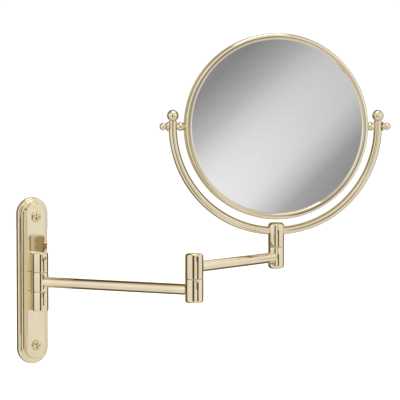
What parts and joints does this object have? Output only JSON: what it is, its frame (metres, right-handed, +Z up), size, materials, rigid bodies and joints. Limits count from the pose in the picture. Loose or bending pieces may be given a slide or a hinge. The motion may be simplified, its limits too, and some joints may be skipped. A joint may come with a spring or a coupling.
{
  "type": "extendable shaving mirror",
  "caption": "Wall-mounted shaving mirror: a round two-sided glass that tips in a half-ring yoke, carried by a jointed pair of swinging brass arms on a stepped oblong plate.",
  "frame": {"origin": "centre of the wall plate's flat back face, on the wall", "axes": "+Y points out of the back of the plate into the wall, -Y points into the room, +Z up"},
  "size_m": [0.3697, 0.2172, 0.3531],
  "materials": {
    "polished_brass": "polished and lacquered, pale gold",
    "silvered_glass": "silvered float glass",
    "nylon_washer": "natural nylon",
    "foam": "closed-cell foam"
  },
  "bodies": {
    "wall_mount": {"wall_plate": "polished_brass", "wall_screw_upper": "polished_brass", "wall_screw_lower": "polished_brass", "lug_screw_upper": "polished_brass", "lug_screw_lower": "polished_brass", "hinge_lug_upper": "polished_brass", "hinge_lug_lower": "polished_brass", "wall_hinge_pin": "polished_brass", "wall_washer_upper": "nylon_washer", "wall_washer_lower": "nylon_washer"},
    "inner_arm": {"inner_arm_knuckle": "polished_brass", "inner_arm_grub_screw": "polished_brass", "inner_arm_tube": "polished_brass", "elbow_lower_knuckle": "polished_brass", "elbow_pin": "polished_brass", "elbow_washer": "nylon_washer"},
    "outer_arm": {"elbow_upper_knuckle": "polished_brass", "elbow_grub_screw": "polished_brass", "outer_arm_tube": "polished_brass", "head_lower_knuckle": "polished_brass", "head_pin": "polished_brass", "head_washer": "nylon_washer"},
    "yoke": {"head_upper_knuckle": "polished_brass", "head_grub_screw": "polished_brass", "yoke_bar": "polished_brass", "yoke_grub_screw": "polished_brass", "ball_finial_left": "polished_brass", "ball_finial_right": "polished_brass", "pivot_screw_left": "polished_brass", "pivot_screw_right": "polished_brass", "pivot_collar_left": "polished_brass", "pivot_collar_right": "polished_brass", "pivot_bead_left": "polished_brass", "pivot_bead_right": "polished_brass"},
    "mirror_head": {"mirror_rim": "polished_brass", "rear_bezel": "polished_brass", "plain_glass": "silvered_glass", "magnifying_glass": "silvered_glass", "glass_spacer": "foam", "pivot_bush_left": "polished_brass", "pivot_bush_right": "polished_brass"}
  },
  "joints": [
    {"name": "wall_swing", "type": "hinge", "parent": "wall_mount", "child": "inner_arm", "pos_m": [0, -0.021, 0], "axis": [0, 0, 1], "range_deg": [-119, 61]},
    {"name": "elbow_fold", "type": "hinge", "parent": "inner_arm", "child": "outer_arm", "pos_m": [0.08993, -0.18324, 0.011], "axis": [0, 0, 1], "range_deg": [-234.6, 65.4]},
    {"name": "head_swivel", "type": "hinge", "parent": "outer_arm", "child": "yoke", "pos_m": [0.23518, -0.11979, 0.034], "axis": [0, 0, 1], "continuous": true},
    {"name": "mirror_tilt", "type": "hinge", "parent": "yoke", "child": "mirror_head", "pos_m": [0.23518, -0.11979, 0.1642], "axis": [0.9171, -0.3987, 0], "continuous": true}
  ]
}
